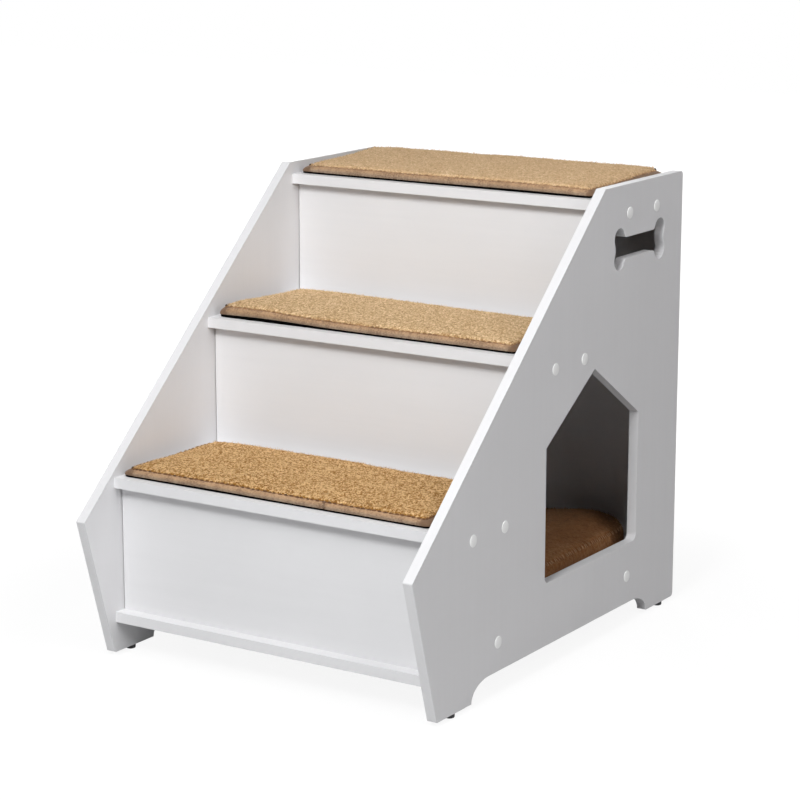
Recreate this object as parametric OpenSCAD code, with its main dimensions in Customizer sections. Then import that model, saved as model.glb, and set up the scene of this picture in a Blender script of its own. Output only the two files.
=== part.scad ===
// Pet stairs: three carpeted steps between two side panels, over a den with a gabled door.
// X runs across the stairs, Y from the front to the back, Z up from the floor.
// Heights named "above the foot" start at the side panel's foot, which the glides lift.
// Distances named "from the back" start at the back edge of the side panels.

/* [Boards] */
// Overall width across the two side panels
stairs_w = 450; // [400:1:520]
// Thickness of every board
board_t = 12; // [10:0.5:15]
// Gap between the end of a riser and the side panel
riser_gap = 1; // [0.5:0.1:2]

/* [Steps] */
// Top of the base board above the foot
base_top_h = 48; // [44:1:56]
// Top of the low tread above the foot
low_tread_h = 207; // [195:1:220]
// Rise from the low tread to the middle tread
mid_rise = 157; // [145:1:170]
// Depth of the top tread from its nosing to the back
top_tread_d = 189.5; // [180:0.5:205]
// Run from the middle nosing to the top nosing
top_run = 175.5; // [165:0.5:190]
// Run from the low nosing to the middle nosing
low_run = 181; // [170:1:195]
// How far a tread's nosing stands in front of its riser
nosing = 13; // [9:0.5:18]
// How far the base board stands in front of the low riser
base_nosing = 15.5; // [9:0.5:18]
// How far a tread runs on behind the riser that stands on it
heel = 10; // [8:0.5:14]

/* [Side panels] */
// Height of a side panel above its foot
panel_h = 530; // [522:1:545]
// How far the panel's foremost point stands in front of the low nosing
knuckle_reach = 54; // [45:1:65]
// Height of that point above the foot
knuckle_h = 166; // [150:1:180]
// How far the toe of the front foot lies behind that point
toe_set = 49; // [35:1:60]
// How far the panel's top corner stands in front of the top nosing
top_reach = 4.5; // [2:0.5:10]
// How far a side panel rises above the top tread
lip_h = 14.5; // [10:0.5:20]
// Length of each foot along the floor
foot_l = 71; // [60:1:85]
// Height of the hollow between the feet
arch_h = 22; // [15:1:30]
// Length of the curved shoulder at each end of that hollow
arch_shoulder = 36; // [25:1:45]
// Radius of the two back corners
back_corner_r = 5; // [2:0.5:10]
// Radius of the other outer corners
front_corner_r = 2; // [1:0.5:5]

/* [Door] */
// Width of the door
door_w = 220; // [180:1:235]
// Distance from the back to the door's rear edge
door_back = 102; // [90:1:120]
// Height of the sill above the foot
sill_h = 96; // [85:1:110]
// Height of the door's straight sides
door_wall_h = 158; // [140:1:165]
// Height of the gable over the straight sides
gable_h = 71.5; // [50:0.5:75]
// Radius of the door's lower corners
door_corner_r = 8; // [3:0.5:15]

/* [Hand hole] */
// Distance from the back to the middle of the bone-shaped hand hole
bone_back = 107.5; // [100:0.5:115]
// Distance from the top tread's underside down to the middle of the hand hole
bone_drop = 47.5; // [46:0.5:55]
// Distance from the middle of the hole to the centres of its end lobes
bone_reach = 50; // [40:0.5:55]
// Radius of each of the four lobes
lobe_r = 12.5; // [10:0.5:14]
// Radius of the hollow between the two lobes of an end
notch_r = 15; // [12:0.5:20]
// Radius where a lobe runs into the shaft
shaft_fillet_r = 5; // [3:0.5:6]

/* [Cleats] */
// Side of the square wood strips
cleat_s = 18; // [15:0.5:20]
// Length of a strip under a tread
cleat_l = 120; // [100:1:130]
// Distance from the low nosing back to the middle of its strip
low_cleat_set = 101; // [95:1:110]
// Distance from the middle nosing back to the middle of its strip
mid_cleat_set = 95; // [90:1:104]
// Distance from the top nosing back to the middle of its strip
top_cleat_set = 89.5; // [86:0.5:98]
// Length of a strip on the base board
base_cleat_l = 400; // [360:1:410]
// Distance from the back to the middle of a base strip
base_cleat_back = 273.5; // [260:0.5:285]

/* [Fixings] */
// Shank diameter of the wood screws
screw_d = 4; // [3:0.5:5]
// Head diameter of the wood screws
screw_head_d = 8; // [7:0.5:9]
// Height of the countersunk head
screw_head_h = 2.4; // [2:0.1:3]
// Length of the screws through the side panels
panel_screw_l = 26; // [20:1:28]
// Length of the screws through the strips
cleat_screw_l = 25; // [22:1:27]
// Spacing of the two panel screws in a tread strip
tread_screw_span = 67; // [50:1:80]
// Spacing of the two panel screws in a base strip
base_screw_span = 301; // [260:1:340]
// Drop from the tread's underside to the panel screws, low and middle steps
screw_drop = 11; // [7:0.5:12]
// Drop from the tread's underside to the panel screws, top step
top_screw_drop = 7.5; // [6:0.5:12]
// Height of the base screws above the base board
base_screw_lift = 7.5; // [6:0.5:12]
// Diameter of a screw cap
cap_d = 14; // [12:0.5:16]
// Thickness of a screw cap at its middle
cap_h = 1; // [0.8:0.1:2]
// Diameter of the wooden dowels
dowel_d = 6; // [5:0.5:7]
// Depth of a dowel in the end of a board
dowel_deep = 16; // [12:1:20]
// Depth of a dowel in the face of a board
dowel_shallow = 8; // [6:0.5:8]

/* [Glides] */
// Height of a glide
glide_h = 5; // [3:0.5:8]
// Diameter of a glide
glide_d = 11.6; // [9:0.1:12]
// Distance from the back to the middle of a rear glide
glide_back = 30; // [20:1:45]
// Depth of a glide's nail in the foot
nail_l = 16; // [10:1:20]
// Shank diameter of that nail
nail_d = 2; // [1.5:0.1:2.5]

/* [Mats] */
// Gap between a mat's side and the side panel
mat_side_gap = 9; // [6:0.5:25]
// How far a mat's front edge lies behind the nosing
mat_set = 9.5; // [1:0.5:15]
// Least gap between a mat's rear edge and the nosing above it
mat_nose_gap = 8; // [2:0.5:15]
// Thickness of the anti-slip backing
mat_backing_t = 3; // [2:0.5:4]
// Height of the side band over the backing
mat_band_h = 7; // [5:0.5:14]
// Thickness of the side band at its foot; it leans in by that much to the seam
mat_band_t = 5; // [3:0.5:7]
// How high the plush top rises over the band
mat_crown = 7.5; // [3:0.5:10]
// Corner radius of a mat
mat_corner_r = 8; // [7.5:0.5:20]

/* [Den cushion] */
// Gap between the cushion's side and the strip on the base board
cushion_side_gap = 2; // [1:0.5:20]
// Depth of the cushion
cushion_d = 310; // [240:1:330]
// Gap between the back panel and the cushion
cushion_back_gap = 8; // [4:1:20]
// Corner radius of the cushion
cushion_corner_r = 60; // [45:1:110]
// Height of the cushion's edge seam
cushion_edge_h = 47; // [30:1:55]
// How high the middle rises over the edge seam
cushion_crown = 13; // [8:1:24]

/* [Hidden] */

// Facets of round holes and pins, and steps of a rounded corner
round_fn = 32;
corner_steps = 5;
shoulder_steps = 8;
notch_steps = 3;
lobe_steps = 10;
mat_corner_steps = 4;
cushion_corner_steps = 9;

// How far a cut runs past the face that it opens
cut_over = 1;
// Clearance of a screw, nail or dowel in its hole, on the radius
hole_play = 0.05;
// Gap under a loose mat or cushion
rest_gap = 0.3;
// Depth of the air under the end of a dowel
dowel_air = 1;

paint = [0.93, 0.93, 0.92];
bare_wood = [0.80, 0.68, 0.50];
cap_white = [0.90, 0.90, 0.89];
steel = [0.70, 0.71, 0.73];
glide_grey = [0.20, 0.20, 0.21];
plush_tan = [0.76, 0.60, 0.40];
band_tan = [0.68, 0.53, 0.42];
backing_black = [0.08, 0.08, 0.08];
foam_white = [0.88, 0.86, 0.80];
cushion_brown = [0.45, 0.30, 0.19];

// Heights and inner width, worked out from the steps and the boards
mid_tread_h = low_tread_h + mid_rise;
top_tread_h = panel_h - lip_h;
inner_w = stairs_w - 2 * board_t;
mat_w = inner_w - 2 * mat_side_gap;
mat_d = min(low_run, top_run, top_tread_d) - mat_set - mat_nose_gap;
cushion_w = inner_w - 2 * (cleat_s + cushion_side_gap);

// Nosings and risers, as distances from the back
top_nose = top_tread_d;
mid_nose = top_nose + top_run;
low_nose = mid_nose + low_run;
base_front = low_nose - nosing + base_nosing;
knuckle = low_nose + knuckle_reach;
toe = knuckle - toe_set;
top_corner = top_nose + top_reach;
function riser_front(nose) = nose - nosing;
function riser_back(nose) = nose - nosing - board_t;

// Whole depth: the rounded foremost corner of a side panel falls a little short of its sharp point
knuckle_up = unit([knuckle - top_corner, panel_h - knuckle_h]);
knuckle_down = unit([toe_set, -knuckle_h]);
knuckle_half = acos(knuckle_up * knuckle_down) / 2;
knuckle_loss = front_corner_r * (unit(knuckle_up + knuckle_down).x / sin(knuckle_half) - 1);
stairs_d = knuckle - knuckle_loss;

// Places along Y, from a distance to the back, and along Z, from a height above the foot
function from_back(d) = stairs_d / 2 - d;
function above_foot(h) = glide_h + h;

// Each step: nosing, top of tread, middle of its strip, height of its panel screws
function strip_screws_h(tread_h, drop) = tread_h - board_t - drop;
steps = [
    [low_nose, low_tread_h, low_nose - low_cleat_set, strip_screws_h(low_tread_h, screw_drop)],
    [mid_nose, mid_tread_h, mid_nose - mid_cleat_set, strip_screws_h(mid_tread_h, screw_drop)],
    [top_nose, top_tread_h, top_nose - top_cleat_set, strip_screws_h(top_tread_h, top_screw_drop)]
];

// Panel screws, as [distance from the back, height above the foot]
panel_screw_places = concat(
    [for (s = steps) for (side = [-1, 1]) [s[2] + side * tread_screw_span / 2, s[3]]],
    [for (side = [-1, 1]) [base_cleat_back + side * base_screw_span / 2, base_top_h + base_screw_lift]]
);

// Screws through a strip, as shares of the strip's length to each side of its middle
strip_screw_share = 0.12;
base_strip_screw_share = 0.25;

// Dowels across the width, as shares of the inner width
dowel_shares = [-0.35, 0, 0.35];
// Dowels up the back panel, as shares of its height
back_dowel_shares = [0.15, 0.5, 0.85];

// Glides along the feet, as distances from the back
glide_places = [toe - foot_l / 2, glide_back];

back_panel_h = top_tread_h - board_t - arch_h;

// Unit vector, and an angle brought between -180 and 180 degrees
function unit(v) = v / norm(v);
function turn(a) = a > 180 ? a - 360 : (a < -180 ? a + 360 : a);

// Points of an arc about a centre
function arc(centre, r, from, sweep, steps) =
    [for (k = [0 : steps]) centre + r * [cos(from + sweep * k / steps), sin(from + sweep * k / steps)]];

// Corner b of an outline, between its neighbours a and c, rounded with radius r
function rounded_corner(a, b, c, r) =
    r == 0 ? [b] :
    let (u = unit(a - b), v = unit(c - b), half = acos(u * v) / 2,
         centre = b + unit(u + v) * r / sin(half),
         from = b + u * r / tan(half) - centre, to = b + v * r / tan(half) - centre,
         from_a = atan2(from.y, from.x), to_a = atan2(to.y, to.x))
    arc(centre, r, from_a, turn(to_a - from_a), corner_steps);

// Outline with each corner rounded by its own radius
function rounded_outline(points, radii) =
    let (n = len(points))
    [for (i = [0 : n - 1]) each
        rounded_corner(points[(i + n - 1) % n], points[i], points[(i + 1) % n], radii[i])];

// Curved shoulder of the hollow under a panel, from the foot up to the hollow's top
function shoulder(foot_y, toward) =
    [for (k = [1 : shoulder_steps]) let (a = 90 * k / shoulder_steps)
        [foot_y + toward * arch_shoulder * (1 - cos(a)), arch_h * sin(a)]];
function reversed(list) = [for (i = [len(list) - 1 : -1 : 0]) list[i]];

// Outline of a side panel in Y and height above the foot
function panel_outline() =
    let (back = from_back(0), rear_foot = from_back(foot_l), front_foot = from_back(toe - foot_l))
    concat(
        rounded_corner([rear_foot, 0], [back, 0], [back, panel_h], back_corner_r),
        rounded_corner([back, 0], [back, panel_h], [from_back(top_corner), panel_h], back_corner_r),
        rounded_corner([back, panel_h], [from_back(top_corner), panel_h],
                       [from_back(knuckle), knuckle_h], front_corner_r),
        rounded_corner([from_back(top_corner), panel_h], [from_back(knuckle), knuckle_h],
                       [from_back(toe), 0], front_corner_r),
        rounded_corner([from_back(knuckle), knuckle_h], [from_back(toe), 0], [front_foot, 0], front_corner_r),
        [[front_foot, 0]],
        shoulder(front_foot, 1),
        reversed(shoulder(rear_foot, -1)),
        [[rear_foot, 0]]
    );

// Outline of the door: straight sides, a gable and two rounded lower corners
function door_outline() =
    let (rear = from_back(door_back), front = from_back(door_back + door_w), wall_h = sill_h + door_wall_h)
    rounded_outline(
        [[front, sill_h], [rear, sill_h], [rear, wall_h], [(front + rear) / 2, wall_h + gable_h], [front, wall_h]],
        [door_corner_r, door_corner_r, 0, 0, 0]);

// Quarter of the bone outline about its middle, from the notch at the end round to the shaft.
// The lobe touches the notch and the fillet, so their centres lie a sum of two radii apart.
lobe_rise = lobe_r;
shaft_half = lobe_r;
notch_ahead = sqrt(pow(lobe_r + notch_r, 2) - pow(lobe_rise, 2));
fillet_behind = sqrt(pow(lobe_r + shaft_fillet_r, 2) - pow(shaft_fillet_r, 2));
notch_a = atan2(lobe_rise, notch_ahead);
fillet_a = atan2(shaft_fillet_r, fillet_behind);
function bone_quarter() = concat(
    arc([bone_reach + notch_ahead, 0], notch_r, 180, -notch_a, notch_steps),
    arc([bone_reach, lobe_rise], lobe_r, -notch_a, 180 + notch_a - fillet_a, lobe_steps),
    arc([bone_reach - fillet_behind, shaft_half + shaft_fillet_r], shaft_fillet_r, -fillet_a,
        fillet_a - 90, notch_steps));
function flipped(points, sx, sy) = [for (p = points) [sx * p.x, sy * p.y]];
function bone_outline() = concat(
    bone_quarter(),
    reversed(flipped(bone_quarter(), -1, 1)),
    flipped(bone_quarter(), -1, -1),
    reversed(flipped(bone_quarter(), 1, -1)));

// Outline of a rounded rectangle about the origin, inset from its full size
function pad_ring(w, d, r, inset, steps) =
    let (rr = max(r - inset, r / 20), cx = w / 2 - inset - rr, cy = d / 2 - inset - rr)
    concat(
        arc([cx, cy], rr, 0, 90, steps), arc([-cx, cy], rr, 90, 90, steps),
        arc([-cx, -cy], rr, 180, 90, steps), arc([cx, -cy], rr, 270, 90, steps));

// Skin through rings with the same number of points, closed by a fan at the bottom and the top.
// profile lists [inset, height] from the bottom to the top.
module ringed_pad(w, d, r, profile, steps) {
    count = 4 * (steps + 1);
    rings = len(profile);
    points = concat(
        [for (p = profile) for (q = pad_ring(w, d, r, p[0], steps)) [q.x, q.y, p[1]]],
        [[0, 0, profile[0][1]], [0, 0, profile[rings - 1][1]]]);
    sides = [for (i = [0 : rings - 2]) for (k = [0 : count - 1])
        let (a = i * count + k, b = i * count + (k + 1) % count)
        each [[a, a + count, b + count], [a, b + count, b]]];
    last = (rings - 1) * count;
    ends = [for (k = [0 : count - 1]) each
        [[rings * count, k, (k + 1) % count], [rings * count + 1, last + (k + 1) % count, last + k]]];
    polyhedron(points = points, faces = concat(sides, ends), convexity = 4);
}

// Closed band round a rounded rectangle; loop lists [inset, height] round the band's section
module ringed_band(w, d, r, loop, steps) {
    count = 4 * (steps + 1);
    rings = len(loop);
    points = [for (p = loop) for (q = pad_ring(w, d, r, p[0], steps)) [q.x, q.y, p[1]]];
    faces = [for (i = [0 : rings - 1]) for (k = [0 : count - 1])
        let (a = i * count + k, b = i * count + (k + 1) % count, j = ((i + 1) % rings) * count)
        each [[a, j + k, j + (k + 1) % count], [a, j + (k + 1) % count, b]]];
    polyhedron(points = points, faces = faces, convexity = 6);
}

// Board standing across the stairs or lying across them, centred on X
module cross_board(w, front_d, back_d, low_h, high_h) {
    translate([-w / 2, from_back(front_d), above_foot(low_h)])
        cube([w, front_d - back_d, high_h - low_h]);
}

// Prism of an outline in Y and height above the foot, as thick as the right side panel, with over
// added on each side
module side_prism(over) {
    translate([inner_w / 2 - over, 0, glide_h]) rotate([90, 0, 90])
        linear_extrude(board_t + 2 * over) children();
}

// Wood screw along +Z from the bearing plane of its head; play widens it into its own hole
module screw_form(l, play) {
    rotate_extrude($fn = round_fn)
        polygon([[0, 0], [screw_head_d / 2 + play, 0], [screw_d / 2 + play, screw_head_h],
                 [screw_d / 2 + play, l - screw_d + play], [0, l + play]]);
}
// The same, cut open at the head's side
module screw_hole(l) {
    screw_form(l, hole_play);
    translate([0, 0, -cut_over]) cylinder(r = screw_head_d / 2 + hole_play, h = cut_over, $fn = round_fn);
}

// Places the screws of the right side panel, pointing inward
module at_panel_screws() {
    for (p = panel_screw_places)
        translate([stairs_w / 2, from_back(p[0]), above_foot(p[1])]) rotate([0, -90, 0]) children();
}

// Places the screws of the right tread strips, pointing up
module at_strip_screws() {
    for (s = steps) for (side = [-1, 1])
        translate([inner_w / 2 - cleat_s / 2, from_back(s[2] + side * cleat_l * strip_screw_share),
                   above_foot(s[1] - board_t - cleat_s)]) children();
}

// Places the screws of the right base strip, pointing down
module at_base_strip_screws() {
    for (side = [-1, 1])
        translate([inner_w / 2 - cleat_s / 2,
                   from_back(base_cleat_back + side * base_cleat_l * base_strip_screw_share),
                   above_foot(base_top_h + cleat_s)]) rotate([180, 0, 0]) children();
}

module both_sides() {
    children();
    mirror([1, 0, 0]) children();
}

// Dowel along +Z, with chamfered ends, sunk by low_l below the joint and high_l above it
module dowel(low_l, high_l) {
    chamfer = dowel_d / 8;
    rotate_extrude($fn = round_fn)
        polygon([[0, -low_l], [dowel_d / 2 - chamfer, -low_l], [dowel_d / 2, chamfer - low_l],
                 [dowel_d / 2, high_l - chamfer], [dowel_d / 2 - chamfer, high_l], [0, high_l]]);
}
module dowel_hole(low_l, high_l) {
    translate([0, 0, -low_l - dowel_air])
        cylinder(r = dowel_d / 2 + hole_play, h = low_l + high_l + 2 * dowel_air, $fn = round_fn);
}

// Places the dowels of a riser: at its foot the deep end points up, at its head it points down
module at_riser_dowels(nose, foot_h, head_h) {
    y = from_back(riser_front(nose) - board_t / 2);
    for (s = dowel_shares) {
        translate([s * inner_w, y, above_foot(foot_h)]) children();
        translate([s * inner_w, y, above_foot(head_h)]) rotate([180, 0, 0]) children();
    }
}
module at_all_riser_dowels() {
    at_riser_dowels(low_nose, base_top_h, low_tread_h - board_t) children();
    at_riser_dowels(mid_nose, low_tread_h, mid_tread_h - board_t) children();
    at_riser_dowels(top_nose, mid_tread_h, top_tread_h - board_t) children();
}

// Places the dowels of the back panel: into the side panels, the top tread and the base board
module at_back_side_dowels() {
    for (s = back_dowel_shares)
        translate([inner_w / 2, from_back(board_t / 2), above_foot(arch_h + s * back_panel_h)])
            rotate([0, -90, 0]) children();
}
module at_back_top_dowels() {
    for (s = dowel_shares)
        translate([s * inner_w, from_back(board_t / 2), above_foot(top_tread_h - board_t)])
            rotate([180, 0, 0]) children();
}
module at_back_base_dowels() {
    for (s = dowel_shares)
        translate([s * inner_w, from_back(board_t), above_foot(base_top_h - board_t / 2)])
            rotate([90, 0, 0]) children();
}

// Places the glides of the right side
module at_glides() {
    for (d = glide_places) translate([stairs_w / 2 - board_t / 2, from_back(d), glide_h]) children();
}

// Right side panel without its door
module side_panel() {
    difference() {
        side_prism(0) polygon(panel_outline());
        side_prism(cut_over) translate([from_back(bone_back), top_tread_h - board_t - bone_drop])
            polygon(bone_outline());
        at_panel_screws() screw_hole(panel_screw_l);
        at_back_side_dowels() dowel_hole(dowel_shallow, dowel_deep);
        at_glides() cylinder(r = nail_d / 2 + hole_play, h = 2 * (nail_l + dowel_air), center = true,
                             $fn = round_fn);
    }
}

module side_panel_right() {
    color(paint) difference() {
        side_panel();
        side_prism(cut_over) polygon(door_outline());
    }
}
module side_panel_left() {
    color(paint) mirror([1, 0, 0]) side_panel();
}

// Tread from its nosing back to its heel behind the riser that stands on it
module tread(nose, back_d, tread_h) {
    difference() {
        cross_board(inner_w, nose, back_d, tread_h - board_t, tread_h);
        at_all_riser_dowels() dowel_hole(dowel_shallow, dowel_deep);
        both_sides() at_strip_screws() screw_hole(cleat_screw_l);
    }
}
module low_tread() { color(paint) tread(low_nose, riser_back(mid_nose) - heel, low_tread_h); }
module mid_tread() { color(paint) tread(mid_nose, riser_back(top_nose) - heel, mid_tread_h); }
module top_tread() {
    color(paint) difference() {
        tread(top_nose, 0, top_tread_h);
        at_back_top_dowels() dowel_hole(dowel_shallow, dowel_deep);
    }
}

module riser(nose, foot_h, tread_h) {
    difference() {
        cross_board(inner_w - 2 * riser_gap, riser_front(nose), riser_back(nose), foot_h, tread_h - board_t);
        at_all_riser_dowels() dowel_hole(dowel_shallow, dowel_deep);
    }
}
module low_riser() { color(paint) riser(low_nose, base_top_h, low_tread_h); }
module mid_riser() { color(paint) riser(mid_nose, low_tread_h, mid_tread_h); }
module top_riser() { color(paint) riser(top_nose, mid_tread_h, top_tread_h); }

module base_board() {
    color(paint) difference() {
        cross_board(inner_w, base_front, board_t, base_top_h - board_t, base_top_h);
        at_all_riser_dowels() dowel_hole(dowel_shallow, dowel_deep);
        at_back_base_dowels() dowel_hole(dowel_shallow, dowel_deep);
        both_sides() at_base_strip_screws() screw_hole(cleat_screw_l);
    }
}
module back_panel() {
    color(paint) difference() {
        cross_board(inner_w, board_t, 0, arch_h, arch_h + back_panel_h);
        both_sides() at_back_side_dowels() dowel_hole(dowel_shallow, dowel_deep);
        at_back_top_dowels() dowel_hole(dowel_shallow, dowel_deep);
        at_back_base_dowels() dowel_hole(dowel_shallow, dowel_deep);
    }
}

// Strip under a tread on the right, its screws cut out
module tread_strip(step) {
    difference() {
        translate([inner_w / 2 - cleat_s, from_back(step[2]) - cleat_l / 2,
                   above_foot(step[1] - board_t - cleat_s)])
            cube([cleat_s, cleat_l, cleat_s]);
        at_panel_screws() screw_form(panel_screw_l, hole_play);
        at_strip_screws() screw_hole(cleat_screw_l);
    }
}
module base_strip() {
    difference() {
        translate([inner_w / 2 - cleat_s, from_back(base_cleat_back) - base_cleat_l / 2, above_foot(base_top_h)])
            cube([cleat_s, base_cleat_l, cleat_s]);
        at_panel_screws() screw_form(panel_screw_l, hole_play);
        at_base_strip_screws() screw_hole(cleat_screw_l);
    }
}
module low_cleat_right() { color(bare_wood) tread_strip(steps[0]); }
module low_cleat_left() { color(bare_wood) mirror([1, 0, 0]) tread_strip(steps[0]); }
module mid_cleat_right() { color(bare_wood) tread_strip(steps[1]); }
module mid_cleat_left() { color(bare_wood) mirror([1, 0, 0]) tread_strip(steps[1]); }
module top_cleat_right() { color(bare_wood) tread_strip(steps[2]); }
module top_cleat_left() { color(bare_wood) mirror([1, 0, 0]) tread_strip(steps[2]); }
module base_cleat_right() { color(bare_wood) base_strip(); }
module base_cleat_left() { color(bare_wood) mirror([1, 0, 0]) base_strip(); }

module panel_screws_right() { color(steel) at_panel_screws() screw_form(panel_screw_l, 0); }
module panel_screws_left() { color(steel) mirror([1, 0, 0]) at_panel_screws() screw_form(panel_screw_l, 0); }
module cleat_screws() {
    color(steel) both_sides() {
        at_strip_screws() screw_form(cleat_screw_l, 0);
        at_base_strip_screws() screw_form(cleat_screw_l, 0);
    }
}

// Low domed cap on the panel's outer face
module cap_form() {
    rim_h = cap_h / 2;
    rotate([180, 0, 0]) rotate_extrude($fn = round_fn)
        polygon([[0, 0], [cap_d / 2, 0], [cap_d / 2, rim_h / 2], [cap_d / 2 - rim_h / 2, rim_h],
                 [cap_d / 4, cap_h - rim_h / 4], [0, cap_h]]);
}
module screw_caps_right() { color(cap_white) at_panel_screws() cap_form(); }
module screw_caps_left() { color(cap_white) mirror([1, 0, 0]) at_panel_screws() cap_form(); }

module riser_dowels() { color(bare_wood) at_all_riser_dowels() dowel(dowel_shallow, dowel_deep); }
module back_dowels() {
    color(bare_wood) {
        both_sides() at_back_side_dowels() dowel(dowel_shallow, dowel_deep);
        at_back_top_dowels() dowel(dowel_shallow, dowel_deep);
        at_back_base_dowels() dowel(dowel_shallow, dowel_deep);
    }
}

// Glide: a disc with a rounded lower edge, moulded round the head of its nail
nail_head_share = 0.45;
nail_head_r = glide_d / 2 * nail_head_share;
nail_head_t = glide_h / 5;
nail_cover = glide_h / 4;
module glide_form() {
    edge = glide_h / 4;
    difference() {
        translate([0, 0, -glide_h]) rotate_extrude($fn = round_fn)
            polygon([[0, 0], [glide_d / 2 - edge, 0], [glide_d / 2 - edge / 3, edge / 3],
                     [glide_d / 2, edge], [glide_d / 2, glide_h], [0, glide_h]]);
        translate([0, 0, -glide_h]) nail_form(hole_play);
    }
}
// Nail standing on the cover that the glide's underside leaves below its head
module nail_form(play) {
    translate([0, 0, nail_cover]) {
        cylinder(r = nail_head_r + play, h = nail_head_t, $fn = round_fn);
        cylinder(r = nail_d / 2 + play, h = glide_h - nail_cover + nail_l, $fn = round_fn);
    }
}
module glides() { color(glide_grey) both_sides() at_glides() glide_form(); }
module glide_nails() { color(steel) both_sides() at_glides() translate([0, 0, -glide_h]) nail_form(0); }

// Mats. Their pieces stack from the backing up; each module draws one piece of one mat.
mat_core_top = mat_backing_t + mat_band_h;
backing_inset_share = 0.2;
module at_mat(step) {
    translate([0, from_back(step[0]) + mat_set + mat_d / 2, above_foot(step[1]) + rest_gap]) children();
}
module mat_backing(step) {
    color(backing_black) at_mat(step) linear_extrude(mat_backing_t)
        polygon(pad_ring(mat_w, mat_d, mat_corner_r, mat_band_t * backing_inset_share, mat_corner_steps));
}
module mat_core(step) {
    color(foam_white) at_mat(step) translate([0, 0, mat_backing_t]) linear_extrude(mat_band_h)
        polygon(pad_ring(mat_w, mat_d, mat_corner_r, mat_band_t, mat_corner_steps));
}
// Side band: straight inside, swelling outside, rolled in to the seam
band_inset_shares = [1, 0.15, 0.03, 0, 0.12, 0.45, 1];
band_rise_shares = [0, 0, 0.15, 0.4, 0.68, 0.9, 1];
module mat_band(step) {
    loop = [for (i = [0 : len(band_rise_shares) - 1])
        [mat_band_t * band_inset_shares[i], mat_backing_t + mat_band_h * band_rise_shares[i]]];
    color(band_tan) at_mat(step) ringed_band(mat_w, mat_d, mat_corner_r, loop, mat_corner_steps);
}
// Plush top: rounded shoulder at the seam, then a low crown
crown_rise_shares = [0, 0.28, 0.52, 0.7, 0.84, 0.95, 1];
crown_inset_shares = [0, 0.003, 0.015, 0.04, 0.11, 0.26, 0.45];
module mat_plush(step) {
    profile = [for (i = [0 : len(crown_rise_shares) - 1])
        [mat_band_t + mat_d * crown_inset_shares[i], mat_core_top + mat_crown * crown_rise_shares[i]]];
    color(plush_tan) at_mat(step) ringed_pad(mat_w, mat_d, mat_corner_r, profile, mat_corner_steps);
}
module low_mat_backing() { mat_backing(steps[0]); }
module low_mat_core() { mat_core(steps[0]); }
module low_mat_band() { mat_band(steps[0]); }
module low_mat_plush() { mat_plush(steps[0]); }
module mid_mat_backing() { mat_backing(steps[1]); }
module mid_mat_core() { mat_core(steps[1]); }
module mid_mat_band() { mat_band(steps[1]); }
module mid_mat_plush() { mat_plush(steps[1]); }
module top_mat_backing() { mat_backing(steps[2]); }
module top_mat_core() { mat_core(steps[2]); }
module top_mat_band() { mat_band(steps[2]); }
module top_mat_plush() { mat_plush(steps[2]); }

// Den cushion: flat where it rests, sides that swell and draw in to the seam, then the crown
side_inset_shares = [0.14, 0.05, 0.01, 0, 0.01, 0.04, 0.09];
side_rise_shares = [0, 0.12, 0.32, 0.52, 0.74, 0.92, 1];
top_inset_shares = [0.13, 0.18, 0.27, 0.40, 0.60, 0.80, 0.97];
top_rise_shares = [-0.06, 0.12, 0.38, 0.64, 0.86, 0.96, 1];
module den_cushion() {
    profile = concat(
        [for (i = [0 : len(side_rise_shares) - 1])
            [cushion_corner_r * side_inset_shares[i], cushion_edge_h * side_rise_shares[i]]],
        [for (i = [0 : len(top_rise_shares) - 1])
            [cushion_corner_r * top_inset_shares[i], cushion_edge_h + cushion_crown * top_rise_shares[i]]]);
    color(cushion_brown)
        translate([0, from_back(board_t + cushion_back_gap + cushion_d / 2), above_foot(base_top_h) + rest_gap])
            ringed_pad(cushion_w, cushion_d, cushion_corner_r, profile, cushion_corner_steps);
}

side_panel_right();
side_panel_left();
base_board();
back_panel();
low_tread();
mid_tread();
top_tread();
low_riser();
mid_riser();
top_riser();
low_cleat_right();
low_cleat_left();
mid_cleat_right();
mid_cleat_left();
top_cleat_right();
top_cleat_left();
base_cleat_right();
base_cleat_left();
panel_screws_right();
panel_screws_left();
screw_caps_right();
screw_caps_left();
cleat_screws();
riser_dowels();
back_dowels();
glides();
glide_nails();
low_mat_backing();
low_mat_core();
low_mat_band();
low_mat_plush();
mid_mat_backing();
mid_mat_core();
mid_mat_band();
mid_mat_plush();
top_mat_backing();
top_mat_core();
top_mat_band();
top_mat_plush();
den_cushion();
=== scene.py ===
"""Pet stairs: the finishes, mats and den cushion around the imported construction, in metres."""

import math

import bpy
import numpy as np
from mathutils import Matrix, Vector
from mathutils.bvhtree import BVHTree


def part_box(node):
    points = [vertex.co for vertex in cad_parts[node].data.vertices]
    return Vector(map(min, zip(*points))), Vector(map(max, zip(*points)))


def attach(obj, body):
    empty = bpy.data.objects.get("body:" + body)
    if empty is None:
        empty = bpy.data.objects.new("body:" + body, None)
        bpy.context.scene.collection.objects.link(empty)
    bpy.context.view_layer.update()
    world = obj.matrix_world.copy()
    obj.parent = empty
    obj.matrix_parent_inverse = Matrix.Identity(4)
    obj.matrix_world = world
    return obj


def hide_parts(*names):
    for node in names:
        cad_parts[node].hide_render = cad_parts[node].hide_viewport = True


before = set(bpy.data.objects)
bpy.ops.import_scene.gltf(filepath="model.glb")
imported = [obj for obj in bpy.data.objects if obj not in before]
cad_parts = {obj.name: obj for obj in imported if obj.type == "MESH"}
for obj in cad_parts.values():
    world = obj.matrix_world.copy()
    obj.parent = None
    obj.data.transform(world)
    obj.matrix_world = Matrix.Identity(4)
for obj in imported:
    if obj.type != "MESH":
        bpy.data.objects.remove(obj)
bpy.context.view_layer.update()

MM = 0.001
STEPS = ("low", "mid", "top")
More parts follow.
